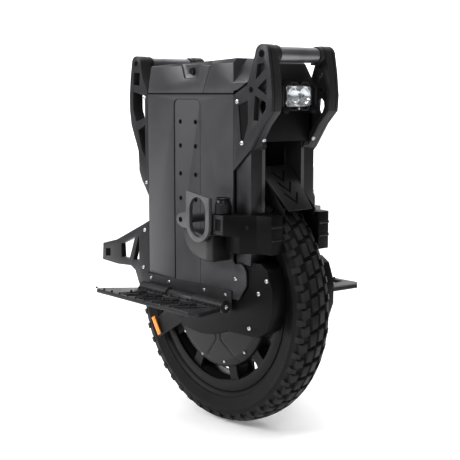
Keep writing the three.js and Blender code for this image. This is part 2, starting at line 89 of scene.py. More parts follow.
def material(name, color, rough, metal=0.0, grain=0.0, grain_scale=900.0, vary=0.15, shine=0.5, edge_highlight=0.0):
    """A finish with cloudy colour and gloss and a fine surface grain, in the piece's own space."""
    mat = bpy.data.materials.new(name)
    mat.use_nodes = True
    nodes = mat.node_tree.nodes
    links = mat.node_tree.links
    shader = nodes["Principled BSDF"]
    shader.inputs["Metallic"].default_value = metal
    shader.inputs["Specular IOR Level"].default_value = shine
    place = nodes.new("ShaderNodeTexCoord")
    cloud = nodes.new("ShaderNodeTexNoise")
    cloud.inputs["Scale"].default_value = CLOUD_SCALE
    cloud.inputs["Detail"].default_value = 6.0
    cloud.inputs["Roughness"].default_value = 0.6
    links.new(place.outputs["Object"], cloud.inputs["Vector"])
    tint = nodes.new("ShaderNodeValToRGB")
    dark, light = tint.color_ramp.elements
    dark.position = 0.3
    light.position = 0.7
    dark.color = (*[c * (1 - vary) for c in color], 1)
    light.color = (*[min(1.0, c * (1 + vary)) for c in color], 1)
    links.new(cloud.outputs["Fac"], tint.inputs["Fac"])
    base = tint.outputs["Color"]
    # Painted highlight: sharp edges are lightened where light would catch them.
    if edge_highlight:
        base = painted_edge_highlight(mat, base, color, edge_highlight)
    links.new(base, shader.inputs["Base Color"])
    gloss = nodes.new("ShaderNodeMapRange")
    gloss.inputs["To Min"].default_value = max(0.02, rough - GLOSS_SPREAD)
    gloss.inputs["To Max"].default_value = min(1.0, rough + GLOSS_SPREAD)
    links.new(cloud.outputs["Fac"], gloss.inputs["Value"])
    links.new(gloss.outputs["Result"], shader.inputs["Roughness"])
    if grain:
        fine = nodes.new("ShaderNodeTexNoise")
        fine.inputs["Scale"].default_value = grain_scale
        fine.inputs["Detail"].default_value = 2.0
        links.new(place.outputs["Object"], fine.inputs["Vector"])
        add_bump(mat, fine.outputs["Fac"], grain, GRAIN_DEPTH)
    return mat


def add_bump(mat, height, strength, distance):
    """Lets a height output roughen the surface."""
    nodes = mat.node_tree.nodes
    links = mat.node_tree.links
    bump = nodes.new("ShaderNodeBump")
    bump.inputs["Strength"].default_value = strength
    bump.inputs["Distance"].default_value = distance
    links.new(height, bump.inputs["Height"])
    links.new(bump.outputs["Normal"], nodes["Principled BSDF"].inputs["Normal"])


def painted_edge_highlight(mat, base, color, amount):
    """Lightens the raised edges: a painted highlight standing in for light caught on them."""
    nodes = mat.node_tree.nodes
    links = mat.node_tree.links
    shape = nodes.new("ShaderNodeNewGeometry")
    edge = nodes.new("ShaderNodeMapRange")
    edge.inputs["From Min"].default_value = PAINTED_HIGHLIGHT_EDGE[0]
    edge.inputs["From Max"].default_value = PAINTED_HIGHLIGHT_EDGE[1]
    edge.inputs["To Max"].default_value = amount
    links.new(shape.outputs["Pointiness"], edge.inputs["Value"])
    blend = nodes.new("ShaderNodeMixRGB")
    blend.inputs["Color2"].default_value = (*[min(1.0, 0.10 + 2.5 * c) for c in color], 1)
    links.new(edge.outputs["Result"], blend.inputs["Fac"])
    links.new(base, blend.inputs["Color1"])
    return blend.outputs["Color"]


def glass(name, color, rough, pattern_scale):
    """Clear moulded plastic with small optic flutes."""
    mat = material(name, color, rough, vary=0.03)
    nodes = mat.node_tree.nodes
    shader = nodes["Principled BSDF"]
    shader.inputs["Transmission Weight"].default_value = 0.9
    shader.inputs["IOR"].default_value = 1.45
    place = nodes.new("ShaderNodeTexCoord")
    cells = nodes.new("ShaderNodeTexVoronoi")
    cells.inputs["Scale"].default_value = pattern_scale
    mat.node_tree.links.new(place.outputs["Object"], cells.inputs["Vector"])
    add_bump(mat, cells.outputs["Distance"], 0.1, 0.0005)
    return mat


FINISHES = {
    # Tyre rubber carries a painted highlight on the knobs' sharp edges.
    "tyre_rubber": dict(
        color=(0.007, 0.007, 0.0075), rough=0.5, grain=0.5, grain_scale=700, vary=0.3, shine=0.16, edge_highlight=0.12
    ),
    "cast_alloy": dict(
        color=(0.030, 0.030, 0.032), rough=0.38, metal=0.35, grain=0.3, grain_scale=1100, shine=0.25
    ),
    "panel_paint": dict(
        color=(0.062, 0.060, 0.065), rough=0.36, metal=0.55, grain=0.15, grain_scale=1500, vary=0.06
    ),
    "black_plastic": dict(
        color=(0.0035, 0.0035, 0.004), rough=0.40, grain=0.3, grain_scale=1300, shine=0.13
    ),
    "bar_alloy": dict(color=(0.24, 0.24, 0.255), rough=0.34, metal=0.85, grain=0.12, grain_scale=1800),
    "leg_alloy": dict(color=(0.045, 0.045, 0.048), rough=0.32, metal=0.6, grain=0.12, grain_scale=1800),
    "plate_alloy": dict(color=(0.11, 0.11, 0.115), rough=0.42, metal=0.6, grain=0.3, grain_scale=1600),
    "heat_sink_alloy": dict(color=(0.5, 0.5, 0.52), rough=0.35, metal=1.0, grain=0.1),
    "steel": dict(color=(0.55, 0.55, 0.57), rough=0.30, metal=1.0, grain=0.1, grain_scale=2200, vary=0.08),
    "spring_steel": dict(color=(0.03, 0.03, 0.033), rough=0.35, metal=0.4, grain=0.1),
    "shock_black": dict(color=(0.016, 0.016, 0.018), rough=0.32, metal=0.6, grain=0.1),
    "copper": dict(color=(0.45, 0.20, 0.09), rough=0.35, metal=1.0, grain=0.2),
    "battery_wrap": dict(color=(0.006, 0.006, 0.007), rough=0.5, grain=0.2, shine=0.1),
    "motor_black": dict(
        color=(0.012, 0.012, 0.013), rough=0.36, grain=0.25, grain_scale=1300, shine=0.3
    ),
    "rubber": dict(color=(0.004, 0.004, 0.004), rough=0.8, grain=0.4, shine=0.05),
    "amber": dict(color=(0.85, 0.30, 0.03), rough=0.15, vary=0.1),
    "rim_black": dict(
        color=(0.010, 0.010, 0.011), rough=0.36, metal=0.3, grain=0.25, grain_scale=1100, shine=0.2
    ),
    "reflector": dict(color=(0.92, 0.93, 0.95), rough=0.10, metal=1.0, vary=0.03),
}
MATS = {name: material(name, **finish) for name, finish in FINISHES.items()}
MATS["lens"] = glass("lens", (0.95, 0.97, 0.99), 0.03, 500)


# ---------------------------------------------------------------- mesh tools
def finish_piece(name, bm, finish, body, replaces=(), bevel=0.0, segments=2, smooth=35.0):
    """Turns a bmesh in millimetres into a named piece with a finish, riding on a body."""
    bmesh.ops.scale(bm, vec=(MM, MM, MM), verts=bm.verts)
    bmesh.ops.recalc_face_normals(bm, faces=bm.faces)
    piece = bpy.data.objects.new(name, bpy.data.meshes.new(name))
    bm.to_mesh(piece.data)
    bm.free()
    bpy.context.scene.collection.objects.link(piece)
    if bevel:
        soften(piece, bevel, segments)
    shade(piece, smooth)
    piece.data.materials.append(MATS[finish])
    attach(piece, body)
    if replaces:
        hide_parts(*replaces)
    return piece


def soften(piece, width, segments):
    """Rounds the sharp edges and bakes the result into the mesh."""
    modifier = piece.modifiers.new("bevel", "BEVEL")
    modifier.width = width * MM
    modifier.segments = segments
    modifier.limit_method = "ANGLE"
    modifier.angle_limit = math.radians(32)
    modifier.use_clamp_overlap = True
    modifier.harden_normals = False
    bpy.context.view_layer.update()
    depsgraph = bpy.context.evaluated_depsgraph_get()
    baked = bpy.data.meshes.new_from_object(piece.evaluated_get(depsgraph))
    old = piece.data
    piece.modifiers.clear()
    piece.data = baked
    piece.data.name = piece.name
    bpy.data.meshes.remove(old)


def shade(piece, angle):
    """Smooth shading with creases at edges sharper than the angle."""
    for polygon in piece.data.polygons:
        polygon.use_smooth = True
    bm = bmesh.new()
    bm.from_mesh(piece.data)
    limit = math.radians(angle)
    for edge in bm.edges:
        edge.smooth = len(edge.link_faces) == 2 and edge.calc_face_angle(0) < limit
    bm.to_mesh(piece.data)
    bm.free()


def refine(node, finish, bevel):
    """A copy of a CAD node with its edges rounded, which stands for the node."""
    source = NODES[node]
    bm = bmesh.new()
    bm.from_mesh(source.data)
    bmesh.ops.remove_doubles(bm, verts=bm.verts, dist=2e-5)
    bmesh.ops.dissolve_limit(bm, angle_limit=math.radians(1), verts=bm.verts, edges=bm.edges)
    bmesh.ops.scale(bm, vec=(1 / MM,) * 3, verts=bm.verts)
    finish_piece(node + "_shell", bm, finish, source["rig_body"], (node,), bevel)


def lathe(profile, centre, axis="x", steps=96, closed=True):
    """Turns a profile of (radius, along) about an axis through centre."""
    bm = bmesh.new()
    rings = []
    for i in range(steps):
        angle = TAU * i / steps
        ring = []
        for radius, along in profile:
            a, b = radius * math.cos(angle), radius * math.sin(angle)
            offset = {"x": (along, a, b), "y": (a, along, b), "z": (a, b, along)}[axis]
            ring.append(bm.verts.new(Vector(centre) + Vector(offset)))
        rings.append(ring)
    count = len(profile)
    for i in range(steps):
        near, far = rings[i], rings[(i + 1) % steps]
        for j in range(count if closed else count - 1):
            k = (j + 1) % count
            bm.faces.new((near[j], near[k], far[k], far[j]))
    bmesh.ops.remove_doubles(bm, verts=bm.verts, dist=1e-4)
    return bm


def loft(bm, rings, caps=True):
    """Joins each ring of vertices to the next, and closes the two ends."""
    for near, far in zip(rings, rings[1:]):
        count = len(near)
        for i in range(count):
            j = (i + 1) % count
            bm.faces.new((near[i], near[j], far[j], far[i]))
    if caps:
        bm.faces.new(rings[-1])
        bm.faces.new(list(reversed(rings[0])))


def extrude(bm, outline, axis, start, end):
    """Adds a prism: the outline lies across the axis, as (y, z), (x, z) or (x, y)."""
    def point(a, b, c):
        return {"x": (c, a, b), "y": (a, c, b), "z": (a, b, c)}[axis]

    near, far = ([bm.verts.new(point(a, b, c)) for a, b in outline] for c in (start, end))
    bm.faces.new(near)
    bm.faces.new(far)
    loft(bm, [near, far], caps=False)


def band(bm, line, x0, x1, rise, fall):
    """Adds a bar that follows an open (y, z) line, from rise to fall across it."""
    sections = []
    for i, (y, z) in enumerate(line):
        before, after = line[max(0, i - 1)], line[min(len(line) - 1, i + 1)]
        along = Vector((after[0] - before[0], after[1] - before[1])).normalized()
        spots = [(x0, rise), (x1, rise), (x1, fall), (x0, fall)]
        sections.append([bm.verts.new((x, y - along.y * h, z + along.x * h)) for x, h in spots])
    loft(bm, sections)


def merge(bm, other):
    """Moves the other bmesh into the first."""
    mesh = bpy.data.meshes.new("part")
    other.to_mesh(mesh)
    other.free()
    bm.from_mesh(mesh)
    bpy.data.meshes.remove(mesh)


def frame_to(normal):
    """Rotation that turns +Z into the normal."""
    return Vector((0, 0, 1)).rotation_difference(Vector(normal)).to_matrix().to_4x4()


def screw(bm, place, normal, radius=4.0, height=2.4):
    """Adds a button-head screw with a hexagon socket, standing on a face."""
    steps = 18
    sixth = steps // 6
    socket = radius * 0.42
    dome = [(radius, 0.0), (radius * 0.98, height * 0.35), (radius * 0.8, height * 0.8)]
    dome.append((radius * 0.52, height))
    move = Matrix.Translation(Vector(place)) @ frame_to(normal)
    rings = []
    for r, z in dome:
        turns = [TAU * i / steps for i in range(steps)]
        rings.append([bm.verts.new(move @ Vector((r * math.cos(t), r * math.sin(t), z))) for t in turns])
    for depth in (height, height * 0.25):
        hexagon = []
        for i in range(steps):
            corner, part = divmod(i, sixth)
            start, end = TAU * corner / 6, TAU * (corner + 1) / 6
            t = part / sixth
            x = (math.cos(start) * (1 - t) + math.cos(end) * t) * socket
            y = (math.sin(start) * (1 - t) + math.sin(end) * t) * socket
            hexagon.append(bm.verts.new(move @ Vector((x, y, depth))))
        rings.append(hexagon)
    loft(bm, rings)


def arc(a, b, radius, start, end, steps=12):
    """Points of an arc about (a, b), between two angles in degrees."""
    angles = [math.radians(start + (end - start) * i / steps) for i in range(steps + 1)]
    return [(a + radius * math.cos(t), b + radius * math.sin(t)) for t in angles]


def rectangle(a0, a1, b0, b1):
    """A rectangle's outline, from its low corner."""
    return [(a0, b0), (a1, b0), (a1, b1), (a0, b1)]


def rounded_rectangle(half_a, half_b, radius, centre_a=0.0, centre_b=0.0, steps=6):
    """A rectangle's outline with round corners, each of them in a number of steps."""
    outline = []
    for sa, sb, start in ((1, 1, 0), (-1, 1, 90), (-1, -1, 180), (1, -1, 270)):
        a = centre_a + sa * (half_a - radius)
        b = centre_b + sb * (half_b - radius)
        outline += arc(a, b, radius, start, start + 90, steps)
    return outline


def both_ways(half):
    """A profile given on one side of the middle plane, closed by its mirror image."""
    return half + [(r, -x) for r, x in reversed(half)]


def box_mm(node):
    """The low and the high corner of a CAD node's box, in millimetres."""
    low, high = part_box(node)
    return low / MM, high / MM


def centre_of(node):
    """The middle of a CAD node's box, in millimetres."""
    low, high = box_mm(node)
    return (low + high) / 2


# ---------------------------------------------------------------- places from the frame
tyre_low, tyre_high = box_mm("tyre")
HUB = (tyre_low + tyre_high) / 2
HUB_AT = (0.0, HUB.y, HUB.z)
TYRE_R = (tyre_high.y - tyre_low.y) / 2
TYRE_HALF = tyre_high.x
panel_high = box_mm("side_panel_left")[1]
BODY_HALF = panel_high.x
FRONT_BAR = centre_of("front_bar")
REAR_BAR = centre_of("rear_bar")
HINGE = centre_of("hinge_pin_left")


# ---------------------------------------------------------------- tyre
TREAD_PITCHES = 47
TREAD_STEP = TAU / TREAD_PITCHES
KNOB_DEPTH = 6.5
KNOB_MARGIN = 0.3
CROWN_GAP = 0.4
CROWN_DROP = 13.0
CARCASS_HALF = 37.5
# Each side leads the tread by this part of a pitch.
SIDE_LEAD = 0.12
# Rows of blocks: place and half length in pitches, inner and outer x, and skew in pitches.
KNOB_ROWS = ((0.0, 0.37, 1.8, 15.5, 0.05), (0.5, 0.27, 20.0, 31.5, 0.08), (0.0, 0.17, 28.5, 38.4, 0.0))
# Size and depth of a block's outline at its root, below its chamfer and on top.
KNOB_LAYERS = ((1.10, KNOB_DEPTH + 1.5), (1.0, 1.2), (0.86, 0.0))


def crown_radius(x):
    """Radius of the tread surface at a distance from the middle plane."""
    return TYRE_R - CROWN_GAP - CROWN_DROP * (abs(x) / TYRE_HALF) ** 2.6


def tyre():
    """Carcass with a bead, wall and shoulder, and three rows of blocks on each side."""
    half = [(179.5, 20.0), (179.5, 25.8), (189.0, 26.2), (190.5, 28.5), (196.0, 32.5), (199.0, 33.2)]
    half += [(200.0, 34.6), (204.0, 35.6), (212.0, 38.0), (220.0, 39.2), (221.0, 39.8), (223.5, 39.8)]
    half.append((224.5, 39.2))
    steps = 12
    for i in range(steps + 1):
        x = CARCASS_HALF * (1 - i / steps)
        half.append((crown_radius(x) - KNOB_DEPTH, x))
    profile = half + [(r, -x) for r, x in reversed(half[:-1])]
    bm = lathe(profile, HUB_AT, "x", 180)
    for i in range(TREAD_PITCHES):
        for side in (1, -1):
            for place, half_length, inner, outer, skew in KNOB_ROWS:
                angle = (i + place + SIDE_LEAD * side) * TREAD_STEP
                knob(bm, angle, half_length * TREAD_STEP, inner * side, outer * side, skew * TREAD_STEP)
    finish_piece("tyre_tread", bm, "tyre_rubber", "wheel", ("tyre",), smooth=40)


def knob(bm, angle, half_angle, inner, outer, skew):
    """Adds one tread block with drafted sides and a chamfered top."""
    middle = (inner + outer) / 2
    half = abs(outer - inner) / 2
    reach = TYRE_HALF - KNOB_MARGIN
    rings = []
    for scale, sink in KNOB_LAYERS:
        ring = []
        for across, around in ((-1, -1), (1, -1), (1, 1), (-1, 1)):
            x = max(-reach, min(reach, middle + across * half * scale))
            a = angle + around * half_angle * scale + skew * (x - middle) / half
            r = crown_radius(x) - sink
            ring.append(bm.verts.new((x, HUB.y + r * math.sin(a), HUB.z + r * math.cos(a))))
        rings.append(ring)
    loft(bm, rings)


tyre()


# ---------------------------------------------------------------- rim and hub motor
motor_high = box_mm("motor_cover_left")[1]
MOTOR_R = motor_high.y - HUB.y
MOTOR_FACE = motor_high.x
SPOKE_PAIRS = 5
SPOKE_FIRST = -31.5
SPOKE_SPREAD = 15.5
SPOKE_OUTER = 169.0
# Half width of the flanges and of the web, where the flanges begin, and half depth.
SPOKE_HALF, SPOKE_WEB, SPOKE_FLANGE, SPOKE_DEEP = 11.0, 5.0, 17.0, 24.0


def rim():
    """Rim with flanges and a drop centre, the drum of the motor and five pairs of spokes."""
    profile = [(167.5, -28.6), (169.0, -29.0), (186.5, -29.0), (188.0, -28.2), (188.0, -26.9)]
    profile += [(178.0, -26.7), (176.5, -20.0), (168.0, -12.0), (168.0, 12.0), (176.5, 20.0)]
    profile += [(178.0, 26.7), (188.0, 26.9), (188.0, 28.2), (186.5, 29.0), (169.0, 29.0), (167.5, 28.6)]
    profile += [(167.5, 22.0), (161.0, 12.0), (160.0, 9.0), (160.0, -9.0), (161.0, -12.0), (167.5, -22.0)]
    bm = lathe(profile, HUB_AT, "x", 192)
    drum = [(130.0, -23.0), (139.0, -23.0), (MOTOR_R, -21.5), (MOTOR_R, 21.5), (139.0, 23.0), (130.0, 23.0)]
    merge(bm, lathe(drum, HUB_AT, "x", 144))
    for i in range(SPOKE_PAIRS):
        for side in (-1, 1):
            merge(bm, spoke(math.radians(SPOKE_FIRST + 360 * i / SPOKE_PAIRS + side * SPOKE_SPREAD)))
    finish_piece("cast_rim", bm, "rim_black", "wheel", ("rim",), smooth=30)


def spoke(angle):
    """Cast spoke of H section between the drum and the rim, with flared ends."""
    bm = bmesh.new()
    inner = MOTOR_R - 3.0
    steps = 8
    rings = []
    for i in range(steps + 1):
        t = i / steps
        r = inner + (SPOKE_OUTER - inner) * t
        flare = 4.0 * (2 * t - 1) ** 4
        half, web = SPOKE_HALF + flare, SPOKE_WEB + flare
        deep, edge = SPOKE_DEEP, SPOKE_FLANGE
        section = [(-half, -deep), (half, -deep), (half, -edge), (web, 2 - edge), (web, edge - 2)]
        section += [(half, edge), (half, deep), (-half, deep), (-half, edge), (-web, edge - 2)]
        section += [(-web, 2 - edge), (-half, -edge)]
        rings.append([bm.verts.new((x, across, -r)) for across, x in section])
    loft(bm, rings)
    bmesh.ops.rotate(bm, matrix=Matrix.Rotation(angle, 3, "X"), verts=bm.verts)
    bmesh.ops.translate(bm, vec=HUB_AT, verts=bm.verts)
    return bm


rim()

COVER_BACK = 24.2
DOME_EDGE, DOME_DROP = 126, 4.5
SKIRT_SLOPE = 0.42
LIP_START, LIP_SLOPE = 138, 0.8
GROOVE_PAIRS, GROOVE_FIRST = 3, -8
GROOVE_START = 30.0
# Distance from the middle of a pair to its grooves, and where and how fast they part.
GROOVE_OFFSET, GROOVE_BEND, GROOVE_FLARE = 7.0, 85.0, 1.1
GROOVE_HALF = GROOVE_DEPTH = 2.2


def groove(distance):
    """Depth of a groove at a distance from its middle, as a height below zero."""
    t = min(1.0, abs(distance) / GROOVE_HALF)
    return -GROOVE_DEPTH * (1 - t * t * (3 - 2 * t))


def cover_height(r, y, z):
    """How far the motor cover's face stands from the wheel's middle plane."""
    if r < DOME_EDGE:
        height = MOTOR_FACE - DOME_DROP * (r / DOME_EDGE) ** 2
    else:
        height = MOTOR_FACE - DOME_DROP - (r - DOME_EDGE) * SKIRT_SLOPE
    for k in range(GROOVE_PAIRS):
        direction = math.radians(GROOVE_FIRST + 360 / GROOVE_PAIRS * k)
        along = y * math.sin(direction) - z * math.cos(direction)
        across = y * math.cos(direction) + z * math.sin(direction)
        if along > GROOVE_START:
            offset = GROOVE_OFFSET + max(0.0, along - GROOVE_BEND) * GROOVE_FLARE
            height += groove(abs(across) - offset)
    return height - max(0.0, r - LIP_START) * LIP_SLOPE


def motor_cover(side):
    """Domed cover with three pairs of grooves that part it into panels."""
    sign = SIDES[side]
    bm = bmesh.new()
    rings = []
    count = 240
    radii = [27.0, 28.5] + list(range(40, DOME_EDGE, 2)) + [127, 130, 133, 136, 138.5, 139.8]
    for r in radii:
        ring = []
        for i in range(count):
            a = TAU * i / count
            y, z = r * math.sin(a), r * math.cos(a)
            ring.append(bm.verts.new((sign * cover_height(r, y, z), HUB.y + y, HUB.z + z)))
        rings.append(ring)
    for edge in (rings[-1], rings[0]):
        rings.append([bm.verts.new((sign * COVER_BACK, v.co.y, v.co.z)) for v in edge])
    rings.append(rings[0])
    loft(bm, rings, caps=False)
    node = "motor_cover_" + side
    finish_piece(node + "_dome", bm, "motor_black", "wheel", (node,), smooth=40)


for side in SIDES:
    motor_cover(side)


def wheel_screws():
    """Twelve screws round each motor cover."""
    bm = bmesh.new()
    r = 129
    for sign in SIDES.values():
        for i in range(12):
            a = math.radians(30 * i + 12)
            place = (sign * (MOTOR_FACE - 4.9), HUB.y + r * math.sin(a), HUB.z + r * math.cos(a))
            screw(bm, place, (sign, 0, 0), 3.2, 2.0)
    finish_piece("wheel_screws", bm, "steel", "wheel", smooth=30)


wheel_screws()


# ---------------------------------------------------------------- CAD pieces with rounded edges
# Left and right pieces: name, finish and bevel.
for stem, finish, bevel in (
    ("front_arm", "cast_alloy", 1.2),
    ("rear_arm", "cast_alloy", 1.2),
    ("rear_bracket", "cast_alloy", 1.2),
    ("pedal_bracket", "cast_alloy", 1.2),
    ("side_panel", "panel_paint", 0.5),
    ("fork_clamp", "black_plastic", 1.2),
    ("fork_leg", "leg_alloy", 1.2),
    ("axle_housing", "black_plastic", 3.5),
    ("pedal", "cast_alloy", 1.0),
    ("side_marker", "amber", 1.0),
):
    for side in SIDES:
        refine(stem + "_" + side, finish, bevel)
for node, finish, bevel in (
    ("top_cover_front", "panel_paint", 1.0),
    ("top_cover_rear", "panel_paint", 1.0),
    ("fork_brace", "cast_alloy", 1.5),
    ("mudguard", "motor_black", 0.8),
    ("front_panel", "black_plastic", 0.5),
    ("rear_panel", "black_plastic", 0.5),
    ("charge_port_cover", "rubber", 0.6),
    ("lashing_plate", "plate_alloy", 1.2),
    ("headlight_housing", "black_plastic", 0.9),
):
    refine(node, finish, bevel)

PLAIN = {
    "top_tray": "black_plastic",
    "wheel_liner": "black_plastic",
    "controller_heat_sink": "heat_sink_alloy",
    "magnet_ring": "steel",
    "axle": "steel",
    "stator": "copper",
    "power_button": "shock_black",
}
for stem, finish in (
    ("bearing", "steel"),
    ("battery_box", "battery_wrap"),
    ("hinge_pin", "steel"),
    ("shock_rod", "steel"),
    ("shock_body", "shock_black"),
):
    for side in SIDES:
        PLAIN[stem + "_" + side] = finish
for node, finish in PLAIN.items():
    NODES[node].data.materials.clear()
    NODES[node].data.materials.append(MATS[finish])


# ---------------------------------------------------------------- grip bars
COLLAR_LENGTH = 10.0


def grip_bar(node):
    """Anodised tube between two cast collars."""
    low, high = box_mm(node)
    centre = (0.0, (low.y + high.y) / 2, (low.z + high.z) / 2)
    collar = (high.z - low.z) / 2
    tube = collar - 2.5
    end = high.x
    profile = both_ways([(0.0, end), (tube - 1.0, end), (tube - 1.0, end - 12.0), (tube, end - 12.6)])
    finish_piece(node + "_tube", lathe(profile, centre, closed=False), "bar_alloy", "chassis", (node,))
    ring = [(tube - 0.8, end - 0.2), (collar - 1.2, end - 0.2), (collar, end - 1.4)]
    ring += [(collar, end - COLLAR_LENGTH + 1), (collar - 1.0, end - COLLAR_LENGTH)]
    ring.append((tube - 0.8, end - COLLAR_LENGTH))
    bm = bmesh.new()
    for sign in SIDES.values():
        merge(bm, lathe([(r, sign * x) for r, x in ring], centre))
    finish_piece(node + "_collars", bm, "cast_alloy", "chassis")


grip_bar("front_bar")
grip_bar("rear_bar")


# ---------------------------------------------------------------- shock springs and reservoirs
WIRE = 1.9
COIL_TURNS = 11


def shock_spring(side):
    """Coil that stands on the carriage."""
    node = "shock_spring_" + side
    low, high = box_mm(node)
    x, y = (low.x + high.x) / 2, (low.y + high.y) / 2
    mean = (high.x - low.x) / 2 - WIRE
    around, steps = 10, 28
    bm = bmesh.new()
    rings = []
    for i in range(COIL_TURNS * steps + 1):
        angle = TAU * i / steps
        z = low.z + WIRE + (high.z - low.z - 2 * WIRE) * i / (COIL_TURNS * steps)
        ring = []
        for j in range(around):
            b = TAU * j / around
            r = mean + WIRE * math.cos(b)
            spot = (x + r * math.cos(angle), y + r * math.sin(angle), z + WIRE * math.sin(b))
            ring.append(bm.verts.new(spot))
        rings.append(ring)
    loft(bm, rings)
    piece = finish_piece(node + "_coil", bm, "spring_steel", "carriage", (node,))
    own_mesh(piece)


def reservoir(side):
    """Can with a recessed cap, and the ring that holds the cap."""
    node = "shock_reservoir_" + side
    low, high = box_mm(node)
    r = (high.x - low.x) / 2
    centre = ((low.x + high.x) / 2, (low.y + high.y) / 2, 0.0)
    foot, top = low.z, high.z
    can = [(0, foot), (r - 0.8, foot), (r, foot + 0.8), (r, top - 12), (r - 1.2, top - 11)]
    can += [(r - 1.2, top - 9.6), (r - 3.4, top - 4.0), (r - 5.5, top - 2.4), (r - 7.0, top - 2.2)]
    can.append((0, top - 2.2))
    bm = lathe(can, centre, "z", 64, closed=False)
    finish_piece(node + "_can", bm, "shock_black", "carriage", (node,))
    ring = [(r - 5.0, top - 2.0), (r - 3.2, top - 3.4), (r - 2.0, top - 2.2), (r - 3.4, top - 0.6)]
    ring.append((r - 4.8, top - 0.5))
    finish_piece(node + "_ring", lathe(ring, centre, "z", 64), "shock_black", "carriage")


for side in SIDES:
    shock_spring(side)
    reservoir(side)


# ---------------------------------------------------------------- headlight
LENS_Z = centre_of("headlight_lens").z
LAMP_FRONT = box_mm("headlight_housing")[0].y
LAMP_BACK = LAMP_FRONT + 12.0
BOWL_X = 15.2
BOWL_R = 14.2
BOWL_DEPTH = 6.4


def lamp_glass():
    """The clear plate in front of the two reflectors."""
    bm = bmesh.new()
    outline = rounded_rectangle(30.5, 17.8, 5.0, centre_b=LENS_Z)
    extrude(bm, outline, "y", LAMP_FRONT + 3.2, LAMP_FRONT + 4.6)
    finish_piece("headlight_glass", bm, "lens", "headlight", ("headlight_lens",), 0.5)


def lamp_bowls():
    """Two parabolic reflectors with an emitter in each, and the bright mask behind them."""
    bowls = bmesh.new()
    emitters = bmesh.new()
    steps = 8
    bottom = LAMP_BACK - 0.6
    depths = [i / steps for i in range(1, steps + 1)]
    for x in (-BOWL_X, BOWL_X):
        bowl = [(BOWL_R * math.sqrt(t), bottom - BOWL_DEPTH * t) for t in depths]
        bowl += [(BOWL_R + 0.6, bottom - BOWL_DEPTH), (BOWL_R + 0.6, LAMP_BACK - 1.0), (5.0, LAMP_BACK - 0.2)]
        merge(bowls, lathe(bowl, (x, 0.0, LENS_Z), "y", 48))
        chip = rounded_rectangle(2.4, 2.4, 0.5, x, LENS_Z)
        extrude(emitters, chip, "y", LAMP_BACK - 3.2, LAMP_BACK - 0.9)
    finish_piece("headlight_bowls", bowls, "reflector", "headlight", smooth=50)
    finish_piece("headlight_emitters", emitters, "shock_black", "headlight", bevel=0.3)
    mask = bmesh.new()
    outline = rounded_rectangle(31.6, 18.8, 4.0, centre_b=LENS_Z)
    extrude(mask, outline, "y", LAMP_BACK - 1.2, LAMP_BACK - 0.6)
    finish_piece("headlight_mask", mask, "reflector", "headlight")


def lamp_claws():
    """Two ribs above the lens and two below, and a cheek plate on each end."""
    bm = bmesh.new()
    rib = [(-11, 20.5), (-6, 25.5), (6, 25.5), (11, 20.5), (9, 19.6), (5, 23.4), (-5, 23.4), (-9, 19.6)]
    for up in (1, -1):
        for x in (-14, 14):
            outline = [(x + a, LENS_Z + up * b) for a, b in rib]
            extrude(bm, outline, "y", LAMP_FRONT + 0.4, LAMP_BACK)
    edge = LAMP_FRONT + 0.6
    cheek = [(edge, -19), (edge, 19), (-182, 19), (-182, 14), (-189, 13)]
    cheek += [(-189, -13), (-182, -14), (-182, -19)]
    for sign in SIDES.values():
        extrude(bm, [(y, LENS_Z + z) for y, z in cheek], "x", sign * 39.5, sign * 42.5)
    finish_piece("headlight_claws", bm, "cast_alloy", "headlight", bevel=0.6)


def lamp_screws():
    """One screw below the lens and one on each cheek."""
    bm = bmesh.new()
    screw(bm, (0, LAMP_FRONT + 3.4, LENS_Z - 22.0), (0, -1, 0), 2.2, 1.4)
    for sign in SIDES.values():
        screw(bm, (sign * 42.0, -179.0, 642.0), (sign, 0, 0), 2.6, 1.4)
    finish_piece("headlight_screws", bm, "steel", "headlight")


lamp_glass()
lamp_bowls()
lamp_claws()
lamp_screws()


# ---------------------------------------------------------------- screws of the chassis and the carriage
OUT = (1, 0, 0)
ARM_FACE = BODY_HALF - 0.1
STRIP_FACE = BODY_HALF - 1.3
HOUSING_FACE = box_mm("axle_housing_left")[1].x - 0.1
BRACKET_FACE = 87.0
HINGE_SCREW_Z = 277


def mirrored_screws(name, body, finish, radius, height, places):
    """Screws at ((x, y, z), normal) on the rider's left, and the same on the right."""
    bm = bmesh.new()
    for (x, y, z), (nx, ny, nz) in places:
        for sign in SIDES.values():
            screw(bm, (sign * x, y, z), (sign * nx, ny, nz), radius, height)
    finish_piece(name, bm, finish, body, smooth=30)


def outward(face, spots):
    """Screw places at (y, z) on a face across X."""
    return [((face, y, z), OUT) for y, z in spots]


mirrored_screws(
    "arm_screws", "chassis", "steel", 4.4, 2.8, outward(ARM_FACE, ((-121, 634), (-134, 560), (-117, 310)))
)
mirrored_screws("foot_screws", "chassis", "steel", 4.4, 2.8, [((62.5, -168.5, 566), (0, -0.9, -0.43))])
mirrored_screws(
    "bracket_screws", "chassis", "steel", 4.4, 2.8, outward(ARM_FACE, ((164, 372), (170, 294), (166, 256)))
)
mirrored_screws(
    "housing_screws",
    "carriage",
    "steel",
    4.4,
    2.6,
    outward(HOUSING_FACE, ((-175, 290), (-196, 316), (-150, 222))),
)
mirrored_screws(
    "hinge_screws",
    "chassis",
    "steel",
    3.6,
    2.2,
    outward(BRACKET_FACE, [(y, HINGE_SCREW_Z) for y in (140, 80, -30, -92)]),
)
mirrored_screws("rear_arm_screws", "chassis", "steel", 4.0, 2.6, outward(ARM_FACE, ((156, 470), (160, 640))))
mirrored_screws(
    "strip_screws",
    "chassis",
    "rubber",
    4.4,
    1.2,
    outward(STRIP_FACE, [(y, z) for y in (0.5, 46.5) for z in (595, 549, 495, 447)]),
)


